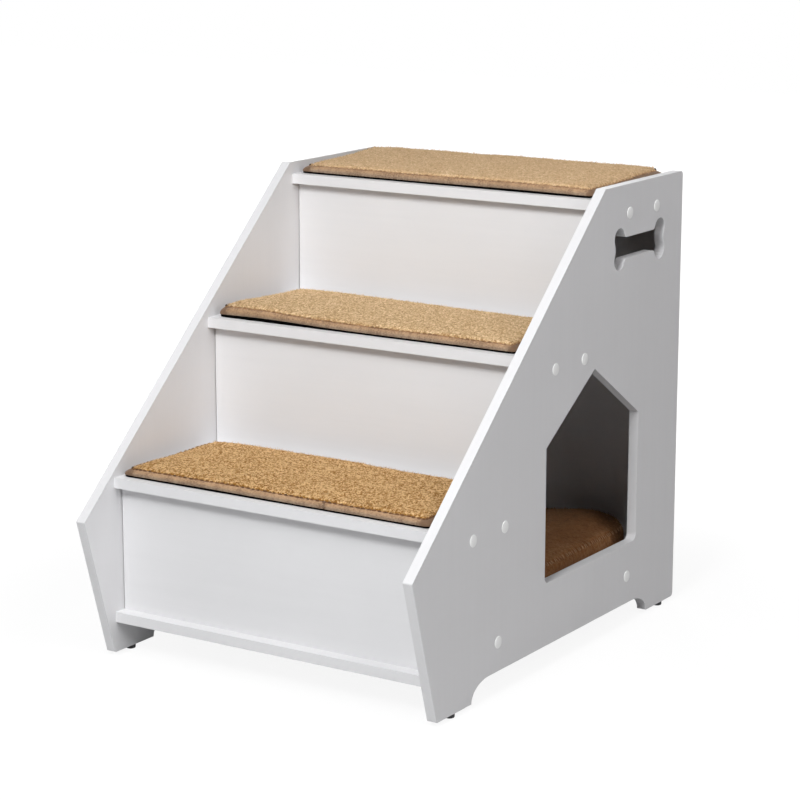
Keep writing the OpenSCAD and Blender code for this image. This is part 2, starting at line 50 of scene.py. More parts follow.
UP = np.array([0.0, 0.0, 1.0])


def add_object(name, data):
    """A new object in the scene."""
    made = bpy.data.objects.new(name, data)
    bpy.context.scene.collection.objects.link(made)
    return made


def add_mesh(name, points, faces):
    """A new object in the scene that has those points and faces."""
    mesh = bpy.data.meshes.new(name)
    mesh.from_pydata([tuple(p) for p in points], [], faces)
    return add_object(name, mesh)


# Camera: the photograph's place, direction and lens
CAMERA_PLACE = (1.581, -2.422, 0.935)
CAMERA_AZIMUTH, CAMERA_ELEVATION, CAMERA_ROLL = 32.87, 12.71, 0.05
CAMERA_LENS, CAMERA_SENSOR = 114.2, 36.0


def make_camera():
    """Camera at the photograph's viewing angle."""
    data = bpy.data.cameras.new("camera")
    data.lens, data.sensor_width = CAMERA_LENS, CAMERA_SENSOR
    camera = add_object("camera", data)
    azimuth, elevation = math.radians(CAMERA_AZIMUTH), math.radians(CAMERA_ELEVATION)
    forward = Vector((-math.sin(azimuth) * math.cos(elevation),
                      math.cos(azimuth) * math.cos(elevation),
                      -math.sin(elevation)))
    turn = forward.to_track_quat("-Z", "Y").to_matrix()
    roll = Matrix.Rotation(math.radians(CAMERA_ROLL), 3, "Z")
    camera.matrix_world = Matrix.Translation(CAMERA_PLACE) @ (turn @ roll).to_4x4()
    bpy.context.scene.camera = camera


class Value:
    """A number that varies over a surface. The usual operators on it add Math nodes."""

    def __init__(self, nodes, socket):
        self.nodes, self.socket = nodes, socket

    def __add__(self, other):
        return self.nodes.maths("ADD", self, other)

    __radd__ = __add__

    def __sub__(self, other):
        return self.nodes.maths("SUBTRACT", self, other)

    def __rsub__(self, other):
        return self.nodes.maths("SUBTRACT", other, self)

    def __mul__(self, other):
        return self.nodes.maths("MULTIPLY", self, other)

    __rmul__ = __mul__

    def step(self, start, end):
        """0 below start, 1 above end and a smooth rise between them."""
        node = self.nodes.node(
            "ShaderNodeMapRange", {"interpolation_type": "SMOOTHSTEP"},
            {"Value": self, "From Min": start, "From Max": end})
        return Value(self.nodes, node.outputs["Result"])


class Nodes:
    """A node tree of a material or of the surroundings, emptied to start with."""

    def __init__(self, tree, output):
        self.tree = tree
        self.tree.nodes.clear()
        self.output = self.node(output)

    def node(self, kind, settings=None, inputs=None):
        """A node of that type: its settings come first, then the values or links of its sockets."""
        made = self.tree.nodes.new(kind)
        for setting, value in (settings or {}).items():
            setattr(made, setting, value)
        for socket, value in (inputs or {}).items():
            target = made.inputs[socket]
            if isinstance(value, Value):
                self.tree.links.new(value.socket, target)
            elif isinstance(value, bpy.types.NodeSocket):
                self.tree.links.new(value, target)
            elif target.type == "RGBA":
                target.default_value = (*value, 1.0)
            else:
                target.default_value = value
        return made

    def maths(self, operation, *inputs):
        node = self.node("ShaderNodeMath", {"operation": operation}, dict(enumerate(inputs)))
        return Value(self, node.outputs[0])

    def end(self, shader):
        self.tree.links.new(shader, self.output.inputs["Surface"])


class Finish(Nodes):
    """One material and its node tree."""

    def __init__(self, name):
        self.material = bpy.data.materials.new(name)
        self.material.use_nodes = True
        super().__init__(self.material.node_tree, "ShaderNodeOutputMaterial")
        self.place = self.node("ShaderNodeTexCoord").outputs["Object"]

    def texture(self, kind, sizes, **inputs):
        """A texture node counted in a size in mm, or in one for each of X, Y and Z."""
        sizes = sizes if isinstance(sizes, tuple) else (sizes,) * 3
        scaled = self.node("ShaderNodeVectorMath", {"operation": "MULTIPLY"},
                           {0: self.place, 1: [1 / (size * MM) for size in sizes]})
        return self.node(kind, None, {"Vector": scaled.outputs[0], "Scale": 1.0, **inputs})

    def noise(self, sizes, detail=2.0, roughness=0.5, distortion=0.0):
        node = self.texture("ShaderNodeTexNoise", sizes, Detail=detail, Roughness=roughness,
                            Distortion=distortion)
        return Value(self, node.outputs["Fac"])

    def cells(self, size):
        """How far each place is from the middle of its cell."""
        return Value(self, self.texture("ShaderNodeTexVoronoi", size).outputs["Distance"])

    def grains(self, size):
        """One number for each cell, from 0 to 1."""
        found = self.texture("ShaderNodeTexVoronoi", size).outputs["Color"]
        return Value(self, self.node("ShaderNodeSeparateColor", None, {0: found}).outputs[0])

    def axis(self, number):
        """The place along X, Y or Z: 0, 1 or 2."""
        node = self.node("ShaderNodeSeparateXYZ", None, {0: self.place})
        return Value(self, node.outputs[number])

    def held(self, attribute):
        """A number kept at each vertex of the mesh."""
        node = self.node("ShaderNodeAttribute", {"attribute_name": attribute})
        return Value(self, node.outputs["Fac"])

    def mix(self, first, second, share):
        """Colour between two colours."""
        node = self.node("ShaderNodeMix", {"data_type": "RGBA"}, {0: share, 6: first, 7: second})
        return node.outputs[2]

    def bump(self, height, depth, strength):
        """Relief from a height of 0 to 1 that is depth mm deep."""
        return self.node("ShaderNodeBump", None, {
            "Height": height, "Distance": depth * MM, "Strength": strength}).outputs["Normal"]

    def surface(self, base_color, roughness, normal, **others):
        """Ends the material in one Principled shader."""
        inputs = {"Base Color": base_color, "Roughness": roughness, "Normal": normal}
        for name, value in others.items():
            inputs[name.replace("_", " ").title().replace("Ior", "IOR")] = value
        self.end(self.node("ShaderNodeBsdfPrincipled", None, inputs).outputs[0])
        return self.material


def drawn_out(grain, length, width):
    """Sizes for a texture drawn out along the axis grain, 0 to 2."""
    return tuple(length if axis == grain else width for axis in range(3))


def painted_wood(name, grain):
    """Satin white paint; fine fibres of the wood show faintly along the axis grain."""
    f = Finish(name)
    fibres = f.noise(drawn_out(grain, 45, 0.9), detail=3.0, roughness=0.6)
    streaks = f.noise(drawn_out(grain, 260, 7))
    peel = f.noise(2.2, detail=1.0)
    clouds = f.noise(120)
    tone = 0.25 * fibres + 0.25 * streaks + 0.5 * clouds
    base = f.mix((0.660, 0.655, 0.666), (0.742, 0.737, 0.748), tone)
    height = 0.6 * fibres + 0.2 * streaks + 0.3 * peel
    return f.surface(base, 0.40 + 0.14 * fibres + 0.06 * clouds, f.bump(height, 0.12, 0.45),
                     specular_ior_level=0.38)


def bare_wood(name, grain):
    """Planed pale softwood: rings drawn out along the grain, with fine dark pores."""
    f = Finish(name)
    rings = f.noise(drawn_out(grain, 160, 7), distortion=1.2)
    bands = f.maths("FRACT", rings * 9.0)
    pores = f.noise(drawn_out(grain, 9, 0.5))
    early = f.mix((0.66, 0.47, 0.28), (0.50, 0.31, 0.155), bands.step(0.35, 0.95))
    base = f.mix(early, (0.36, 0.21, 0.10), pores.step(0.60, 0.78) * 0.5)
    return f.surface(base, 0.55 + 0.2 * pores, f.bump(pores * 0.6 + bands * 0.4, 0.15, 0.6))


def cap_plastic(name):
    """Glossy white plastic."""
    f = Finish(name)
    fine = f.noise(0.8)
    clouds = f.noise(30)
    base = f.mix((0.93, 0.93, 0.925), (0.98, 0.98, 0.975), clouds)
    return f.surface(base, 0.30 + 0.14 * fine, f.bump(fine, 0.03, 0.5), coat_weight=0.6,
                     coat_roughness=0.25)


def glide_plastic(name):
    """Dark plastic, scuffed in rings."""
    f = Finish(name)
    spark = f.noise(0.5, detail=3.0)
    scuffs = f.noise((4, 4, 0.6))
    base = f.mix((0.030, 0.030, 0.032), (0.085, 0.085, 0.088), scuffs.step(0.45, 0.75))
    return f.surface(base, 0.42 + 0.3 * spark, f.bump(spark, 0.06, 0.7))


def plated_steel(name):
    """Zinc-plated steel with fine turning marks."""
    f = Finish(name)
    turned = f.noise((0.25, 3, 3))
    stain = f.noise(3)
    base = f.mix((0.58, 0.59, 0.60), (0.72, 0.72, 0.70), stain)
    return f.surface(base, 0.24 + 0.2 * turned, f.bump(turned, 0.03, 0.6), metallic=1.0)


def plush(name, deep, middle, tip, contrast, size=0.5):
    """Curly pile: the mesh keeps the curls' lightness in "pile"; granules and fibres are added here. deep
    is painted shade between the curls and along the seam, tip the lighter tops of the curls.
    """
    f = Finish(name)
    fibres = f.noise(size, detail=3.0, roughness=0.65, distortion=1.5)
    granules = f.grains(3.6 * size)
    patches = f.noise(30)
    lit = f.held("pile") * 0.60 + fibres * 0.30 + granules * 0.50 - 0.24
    lit = (lit - 0.45) * contrast + 0.45
    base = f.mix(f.mix(deep, middle, lit.step(0.08, 0.50)), tip, lit.step(0.46, 0.90))
    base = f.mix(base, middle, patches.step(0.45, 0.75) * 0.15)
    return f.surface(base, 0.86 + 0.12 * fibres, f.bump(fibres * 0.7 + granules * 0.5, 0.8, 0.9),
                     specular_ior_level=0.1, sheen_weight=0.12, sheen_roughness=0.4,
                     sheen_tint=(1.0, 0.80, 0.55))


def band_velvet(name, foot):
    """Short mottled velvet of a mat's side band; foot is the height where it starts and looks greyer."""
    f = Finish(name)
    nap = f.noise((0.7, 0.7, 2.5), detail=3.0)
    mottle = f.noise((2.4, 2.4, 1.5))
    brushed = f.noise((6, 6, 14))
    # ends darkens the band at the mat's left and right ends: painted shade on the mat's two ends
    ends = f.maths("ABSOLUTE", f.axis(0)).step(188 * MM, 202 * MM)
    # The colour turns greyer towards the band's foot
    greyer_foot = 1 - f.axis(2).step(foot, foot + 6 * MM)
    tone = nap * 0.45 + mottle * 0.8 + brushed * 0.30 + f.held("pile") * 0.5 - 0.55 - ends * 0.8
    pale = f.mix((0.46, 0.283, 0.152), (0.395, 0.288, 0.200), greyer_foot)
    base = f.mix((0.15, 0.085, 0.047), pale, tone.step(0.0, 0.82))
    return f.surface(base, 0.78 + 0.15 * nap, f.bump(nap + mottle * 0.8, 0.3, 0.7), sheen_weight=0.3,
                     sheen_roughness=0.4, sheen_tint=(1.0, 0.86, 0.72))


def thread(name, dark, light):
    """Twisted thread, darker and lighter in runs."""
    f = Finish(name)
    ply = f.noise(0.35)
    runs = f.noise(7).step(0.36, 0.64)
    base = f.mix(dark, light, ply * 0.5 + runs * 0.5)
    return f.surface(base, 0.65 + 0.2 * ply, f.bump(ply, 0.1, 0.8))


def backing_rubber(name):
    """Black backing with a fine pattern of grip pips; its colour is darker than rubber, partly painted
    shadow of the gap under the mat's edge.
    """
    f = Finish(name)
    pips = f.cells(2.4)
    dust = f.noise(11, detail=3.0)
    base = f.mix((0.001, 0.001, 0.001), (0.005, 0.004, 0.004), dust.step(0.5, 0.85))
    return f.surface(base, 0.80 + 0.2 * dust, f.bump(f.maths("MAXIMUM", 0.45 - pips, 0.0), 0.6, 0.8),
                     specular_ior_level=0.02)


def open_foam(name):
    """Pale open-cell foam, yellowed in places."""
    f = Finish(name)
    pores = f.cells(1.1)
    age = f.noise(50)
    tone = f.maths("MINIMUM", pores * 1.2, 1.0) * 0.6 + age * 0.4
    base = f.mix((0.60, 0.50, 0.30), (0.80, 0.75, 0.60), tone)
    return f.surface(base, 0.88 + 0.1 * pores, f.bump(pores, 0.5, 0.9))


PAINT_ACROSS = painted_wood("paint_across", 0)
PAINT_UPRIGHT = painted_wood("paint_upright", 2)
STRIP_WOOD = bare_wood("strip_wood", 1)
DOWEL_WOOD = bare_wood("dowel_wood", 2)
CAP_WHITE = cap_plastic("cap_white")
GLIDE_DARK = glide_plastic("glide_dark")
SCREW_STEEL = plated_steel("screw_steel")
# One fabric on all three mats: the middle and top copies are paler, less saturated and lower in contrast
# than the low one, painted sheen, and the low one darker
MAT_PLUSH = {
    "low": plush("low_mat_plush", (0.242, 0.101, 0.018), (0.420, 0.230, 0.078),
                 (0.732, 0.480, 0.240), contrast=1.75),
    "mid": plush("mid_mat_plush", (0.330, 0.178, 0.070), (0.568, 0.374, 0.191),
                 (0.88, 0.658, 0.408), contrast=1.10),
    "top": plush("top_mat_plush", (0.397, 0.236, 0.114), (0.653, 0.440, 0.243),
                 (0.88, 0.658, 0.425), contrast=0.80),
}
CUSHION_PLUSH = plush("cushion_plush", (0.130, 0.053, 0.018), (0.265, 0.118, 0.046),
                      (0.42, 0.218, 0.102), contrast=0.6, size=0.6)
BAND_VELVET = {step: band_velvet(f"{step}_band_velvet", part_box(f"{step}_mat_band")[0].z)
               for step in STEPS}
# Seam thread of each mat, darker than thread alone: partly painted shade of the crease along the seam,
# darkest on the low mat
SEAM_THREAD = {
    "low": thread("low_seam_thread", (0.048, 0.017, 0.004), (0.175, 0.072, 0.020)),
    "mid": thread("mid_seam_thread", (0.120, 0.052, 0.016), (0.400, 0.225, 0.105)),
    "top": thread("top_seam_thread", (0.190, 0.100, 0.045), (0.470, 0.290, 0.150)),
}
KNOT_THREAD = thread("knot_thread", (0.010, 0.007, 0.005), (0.045, 0.026, 0.016))
LOOSE_THREAD = thread("loose_thread", (0.42, 0.29, 0.19), (0.72, 0.56, 0.42))
BORDER_THREAD = thread("border_thread", (0.34, 0.18, 0.085), (0.58, 0.36, 0.20))
BACKING_RUBBER = backing_rubber("backing_rubber")
OPEN_FOAM = open_foam("open_foam")

# Eased edges of the boards, put on by modifiers
BOARD_EASE, SMALL_EASE = 0.9 * MM, 0.35 * MM
EASE_ANGLE, JOIN_ANGLE, WELD_REACH = math.radians(38), math.radians(0.4), 0.002 * MM


def finish_node(node, material, ease):
    """Gives a CAD node its material and, where ease isn't 0, eased edges of that radius."""
    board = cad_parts[node]
    if not board.material_slots:
        board.data.materials.append(None)
    for slot in board.material_slots:
        slot.material = material
    if ease:
        weld = board.modifiers.new("joined corners", "WELD")
        weld.merge_threshold = WELD_REACH
        join = board.modifiers.new("whole faces", "DECIMATE")
        join.decimate_type, join.angle_limit = "DISSOLVE", JOIN_ANGLE
        bevel = board.modifiers.new("eased edges", "BEVEL")
        bevel.width, bevel.segments, bevel.limit_method = ease, 2, "ANGLE"
        bevel.angle_limit, bevel.harden_normals = EASE_ANGLE, True
        bevel.use_clamp_overlap = True


FINISHES = (
    (PAINT_UPRIGHT, BOARD_EASE, "side_panel_right side_panel_left"),
    (PAINT_ACROSS, BOARD_EASE, "base_board low_tread mid_tread top_tread"),
    (PAINT_ACROSS, SMALL_EASE, "back_panel low_riser mid_riser top_riser"),
    (STRIP_WOOD, SMALL_EASE, "low_cleat_right low_cleat_left mid_cleat_right mid_cleat_left"),
    (STRIP_WOOD, SMALL_EASE, "top_cleat_right top_cleat_left base_cleat_right base_cleat_left"),
    (SCREW_STEEL, 0, "panel_screws_right panel_screws_left cleat_screws glide_nails"),
    (CAP_WHITE, 0, "screw_caps_right screw_caps_left"),
    (DOWEL_WOOD, 0, "riser_dowels back_dowels"),
    (GLIDE_DARK, 0, "glides"),
)
for material, ease, nodes in FINISHES:
    for node in nodes.split():
        finish_node(node, material, ease)


class Unevenness:
    """Smooth random values in space, from a fixed seed. One call gives values from -1 to 1."""

    cells = 32

    def __init__(self, seed):
        self.lattice = np.random.default_rng(seed).uniform(-1, 1, (self.cells,) * 3)

    def wave(self, points, height_and_size):
        height, size = height_and_size
        return height * self(points, size)

    def __call__(self, points, size):
        place = np.asarray(points, float) / size
        low = np.floor(place).astype(int)
        part = place - low
        part = part * part * (3 - 2 * part)
        total = np.zeros(len(place))
        for corner in np.ndindex(2, 2, 2):
            weight = np.prod(np.where(corner, part, 1 - part), axis=1)
            i, j, k = ((low + corner) % self.cells).T
            total += weight * self.lattice[i, j, k]
        return total


class Tufts:
    """Small domes at the points of an uneven grid, from a fixed seed."""

    cells = 64
    spread = 0.85

    def __init__(self, seed):
        self.table = np.random.default_rng(seed).random((self.cells, self.cells, 3))

    def __call__(self, xy, size):
        """Height of the dome over each point, 0 to 1, and the dome's own number, 0 to 1."""
        cell = np.floor(xy / size).astype(int)
        nearest = np.full(len(xy), np.inf)
        own = np.zeros(len(xy))
        for shift in np.ndindex(3, 3):
            there = cell + shift - 1
            found = self.table[there[:, 0] % self.cells, there[:, 1] % self.cells]
            centre = (there + 0.5 + (found[:, :2] - 0.5) * self.spread) * size
            away = np.linalg.norm(xy - centre, axis=1) / size
            nearer = away < nearest
            nearest[nearer], own[nearer] = away[nearer], found[nearer, 2]
        return np.clip(1 - (nearest / 0.8) ** 2, 0, 1), own


def rise(value, end):
    """0 at 0, 1 from end on, smooth between them."""
    t = np.clip(value / end, 0, 1)
    return t * t * (3 - 2 * t)


def hump(value, width):
    """1 at 0, falling off to both sides."""
    return np.exp(-(value / width) ** 2)


def flat(xy):
    """Points of a plane as points in space at height 0."""
    return np.column_stack([xy, np.zeros(len(xy))])


def make_piece(name, points, faces, body, slot, material, pile=None):
    """A mesh piece that rides on a CAD body; pile is a number kept at each vertex."""
    piece = add_mesh(name, points, faces)
    mesh = piece.data
    mesh.validate()
    mesh.polygons.foreach_set("use_smooth", [True] * len(mesh.polygons))
    if pile is not None:
        kept = mesh.attributes.new("pile", "FLOAT", "POINT")
        kept.data.foreach_set("value", np.asarray(pile, np.float32))
    mesh.materials.append(material)
    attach(piece, body)
    return piece


class Pad:
    """Plan of a mat or cushion: a rectangle with rounded corners about a middle point."""

    def __init__(self, low, high, corner_r):
        self.middle = np.array([(low.x + high.x) / 2, (low.y + high.y) / 2])
        self.half = np.array([(high.x - low.x) / 2, (high.y - low.y) / 2])
        self.corner_r = corner_r
        self.length = float(4 * self.half.sum() - 8 * corner_r + 2 * math.pi * corner_r)

    def edge(self, along):
        """Points of the outline and its outward directions, at distances along it."""
        r = self.corner_r
        straight = self.half - r
        runs = [2 * straight[1], 2 * straight[0]] * 2
        starts, at = [], 0.0
        for run in runs:
            starts.append(at)
            at += run + math.pi / 2 * r
        along = np.mod(along, at)
        points, outward = np.zeros((len(along), 2)), np.zeros((len(along), 2))
        corners = np.array([[1, 1], [-1, 1], [-1, -1], [1, -1]]) * straight
        for i, (run, start) in enumerate(zip(runs, starts)):
            turn = i * math.pi / 2
            out = np.array([math.cos(turn), math.sin(turn)])
            ahead = np.array([-out[1], out[0]])
            d = along - start
            on_run = (d >= 0) & (d < run)
            points[on_run] = corners[i] + out * r + ahead * (d[on_run, None] - run)
            outward[on_run] = out
            a = (d - run) / r
            on_bend = (a >= 0) & (a < math.pi / 2)
            angle = a[on_bend, None]
            direction = out * np.cos(angle) + ahead * np.sin(angle)
            points[on_bend], outward[on_bend] = corners[i] + r * direction, direction
        return points + self.middle, outward

    def around(self, spacing):
        """Evenly spaced distances along the outline, with their points and outward directions."""
        count = int(self.length / spacing)
        along = np.arange(count) / count * self.length
        return (along, *self.edge(along))

    def inset(self, xy):
        """How far inside the outline each point lies."""
        q = np.abs(xy - self.middle) - (self.half - self.corner_r)
        beyond = np.linalg.norm(np.maximum(q, 0), axis=1)
        return self.corner_r - beyond - np.minimum(q.max(1), 0)

    def grid(self, spacing, shrink):
        """Points of an even grid drawn in by shrink, its corners pressed into the round, and its shape."""
        half, r = self.half - shrink, max(self.corner_r - shrink, 1 * MM)
        count = np.ceil(2 * half / spacing).astype(int) + 1
        x, y = np.meshgrid(*(np.linspace(-h, h, c) for h, c in zip(half, count)), indexing="ij")
        xy = np.stack([x.ravel(), y.ravel()], 1)
        part = np.clip((np.abs(xy) - (half - r)) / r, 0, 1)
        pressed = part * np.sqrt(1 - part[:, ::-1] ** 2 / 2)
        in_corner = (part > 0).all(1)
        moved = np.sign(xy) * (half - r + pressed * r)
        xy[in_corner] = moved[in_corner]
        return xy + self.middle, count


def grid_faces(count):
    """Quads of a grid of points, wound to face up."""
    index = np.arange(count[0] * count[1]).reshape(count)
    quads = np.stack([index[:-1, :-1], index[1:, :-1], index[1:, 1:], index[:-1, 1:]], -1)
    return quads.reshape(-1, 4).tolist()


def grid_rim(count):
    """Indices round the edge of a grid, counterclockwise from above."""
    index = np.arange(count[0] * count[1]).reshape(count)
    return np.concatenate([index[:-1, 0], index[-1, :-1], index[:0:-1, -1], index[0, :0:-1]])


def closed_stack(edge, outward, levels):
    """Points and faces of level rings, closed at both ends. Each level is how far inside, and a height."""
    count, last = len(edge), (len(levels) - 1) * len(edge)
    rings = [np.column_stack([edge - outward * np.reshape(inset, (-1, 1)), np.full(count, z)])
             for inset, z in levels]
    faces = ring_faces(range(len(levels)), count)
    faces += [list(range(count))[::-1], list(range(last, last + count))]
    return np.vstack(rings), faces


def ring_faces(order, count):
    """Quads between rings of count points, taken in that order."""
    faces = []
    for low, high in zip(order, order[1:]):
        for k in range(count):
            j = (k + 1) % count
            faces.append([low * count + k, low * count + j, high * count + j, high * count + k])
    return faces


# Threads and fibres: rings along each, sides round it, and how much a stitch narrows to its ends;
# a fibre's shortest and longest length, and its least and most bend
STITCH_RINGS, STITCH_SIDES, STITCH_TAPER = 7, 6, 0.94
STRAND_RINGS, STRAND_SIDES = 4, 3
FIBRE_L, FIBRE_CURL = (1.8 * MM, 3.4 * MM), (0.5, 1.5)


def tubes(centres, across, up, width, rings, sides):
    """Points and faces of many short tubes with closed ends; each has the same number of rings."""
    count = len(centres) // rings
    angles = np.arange(sides) / sides * 2 * math.pi
    ring = (across[:, None, :] * np.cos(angles)[None, :, None]
            + up[:, None, :] * np.sin(angles)[None, :, None])
    points = (centres[:, None, :] + ring * np.asarray(width)[:, None, None]).reshape(-1, 3)
    tube = np.array(ring_faces(range(rings), sides))
    starts = np.arange(count) * rings * sides
    faces = (tube[None] + starts[:, None, None]).reshape(-1, 4).tolist()
    ends = np.array([np.arange(sides)[::-1], (rings - 1) * sides + np.arange(sides)])
    faces += (ends[None] + starts[:, None, None]).reshape(-1, sides).tolist()
    return points, faces


def thread_widths(count, radius):
    """Width at each ring of count stitches that narrow to both ends."""
    share = np.linspace(-1, 1, STITCH_RINGS)
    return np.tile(np.sqrt(1 - share ** 2 * STITCH_TAPER), count) * radius


def strands(roots, rng, radius, length=FIBRE_L, curl=FIBRE_CURL, heading=None):
    """Points, faces and lightness of short curled fibres, bent towards heading and thinner to the tip."""
    rings, sides = STRAND_RINGS, STRAND_SIDES
    count = len(roots)
    if heading is None:
        heading = rng.random(count) * 2 * math.pi
    lean = np.column_stack([np.cos(heading), np.sin(heading), np.zeros(count)])
    turn = np.column_stack([-np.sin(heading), np.cos(heading), np.zeros(count)])
    long = rng.uniform(*length, count)
    bend = rng.uniform(*curl, count)
    twist = rng.uniform(-0.8, 0.8, count)
    share = np.linspace(0, 1, rings)
    centres = np.zeros((count, rings, 3))
    for i, s in enumerate(share):
        a = bend * s
        centres[:, i] = (roots + lean * (long * (1 - np.cos(a)) / bend)[:, None]
                         + UP * (long * np.sin(a) / bend)[:, None]
                         + turn * (long * twist * s * s * 0.6)[:, None])
    width = np.tile(radius * (1 - 0.75 * share), count)
    points, faces = tubes(centres.reshape(-1, 3), np.repeat(turn, rings, 0), np.repeat(lean, rings, 0),
                          width, rings, sides)
    lightness = rng.uniform(0.3, 1.15, count)
    return points, faces, (lightness[:, None] + 0.25 * share).ravel().repeat(sides)


# Mats: sizes that the CAD pieces don't give
MAT_CORNER_R = 8 * MM
# The seam lies this far inside the foot, and the plush starts a little outside and below it
SEAM_INSET, PLUSH_LAP = 5.0 * MM, 0.5 * MM
SHOULDER_H, SHOULDER_REACH = 4.6 * MM, 2.6 * MM
# The left end of each mat is rounder: its plush rises over a longer way
END_WIDTH, END_REACH = 26 * MM, 8 * MM
OVERHANG = 0.6 * MM
FOOT_TUCK, FOOT_SHARE, LEAN_FROM = 0.7 * MM, 0.42, 0.38
# The band's foot turns down over the backing's edge: how far down, how far in and its share of the band
FOOT_LIP, FOOT_LIP_W, LIP_SHARE = 0.8 * MM, 7.5 * MM, 0.2
# Edges of the backing and the foam: how far inside, in mm, at shares of their height
BACKING_LEVELS = ((2.2, 0), (1.6, 0.12), (1.4, 0.5), (1.6, 0.9), (2.6, 1))
FOAM_LEVELS = ((2.1, 0), (1.6, 0.08), (1.5, 0.5), (1.7, 0.92), (2.6, 1))
BACKING_STEP, FOAM_STEP, FOAM_LOWER = 2.5 * MM, 4 * MM, 1.6 * MM
BACKING_CUT = (0.3 * MM, 9 * MM)
# Waves in the mat's height and in its seam's path: height and size, as for the backing's cut above
LONG_SAG, SHORT_SAG = (0.6 * MM, 46 * MM), (0.35 * MM, 19 * MM)
SEAM_WANDER = (0.4 * MM, 14 * MM)
CROWN_REACH = 60 * MM
TUFT_SIZE = 2.05 * MM
TUFT_H = {"low": 2.2 * MM, "mid": 1.8 * MM, "top": 1.5 * MM}
PLUSH_GRID = 0.84 * MM
PLUSH_T = 1.4 * MM
BAND_SECTION = 14
# Creases of the band: height, place in the noise and size in mm of each kind
CREASES = ((0.30, 11.0, 2.1), (0.45, 13.0, 6.5), (0.35, 17.0, 24))
BAND_STEP = 1.0 * MM
STITCH_L, STITCH_GAP, STITCH_R = 6.2 * MM, 0.9 * MM, 1.15 * MM
SEAM_OUT, SEAM_BOW = 1.1 * MM, 0.45 * MM
KNOT_R, KNOT_OUT, KNOT_UP = 1.9 * MM, 0.6 * MM, 0.7 * MM
FRAYED_THREADS, FRAYED_L, FRAYED_R, FRAYED_CURL = 16, (2.5 * MM, 5.5 * MM), 0.24 * MM, (1.8, 2.9)
LOOSE_FIBRES, SEAM_FIBRES, FIBRE_R = 5200, 1700, 0.19 * MM
# The join's groove and the raised edges beside it: half widths, how far off the edges lie, and depth
JOIN_W, JOIN_EDGE_W, JOIN_EDGE_AT, JOIN_DEPTH = 0.9 * MM, 1.3 * MM, 2.2 * MM, 0.8 * MM
# Where each mat's side band is joined: share of the way round from its right side's front end
JOINS = {"low": 0.877, "mid": 0.30, "top": 0.44}
# The mats are soft and lie a little out of square. How far each corner lies from a true mat's, in mm
# along X, Y and up: front left, front right, back right and back left
CORNERS = {
    "low": ((-6, 0, 0), (2, 0, 0), (2, 0, 0), (6, 0, 3.0)),
    "mid": ((-3, 0, 0), (-1, 0, 0), (-2, -4, -3), (4, -3, 0.8)),
    "top": ((-5, 0, 0), (-3, 0, 0), (6, 9, 6.3), (-8, 3, 5.8)),
}
# How far the seam at each corner lies further in along X than its foot, in mm, in the same order
ENDS_IN = {"low": (4, 2, 2, 3), "mid": (2, 2, 3, 4), "top": (4, 2, 5, 3)}
END_PART = 32 * MM
# Each corner is drawn in and down at the seam, so it looks rounder than its foot
CORNER_REACH, CORNER_IN, CORNER_DOWN = 16 * MM, 2.2 * MM, 1.0 * MM
# Where along the front each mat's edge stands higher: place and reach in shares of its length, and height
FRONT_LIFTS = {"low": (0.30, 0.16, 0.7 * MM), "mid": (0.17, 0.17, 2.7 * MM), "top": (0.75, 0.2, 0.8 * MM)}
# Swelling at the middle mat's front left corner: place and reach in shares of its length and width, height
SWELLING = {"mid": ((0.03, 0.2), (0.14, 0.30), 2.6 * MM)}


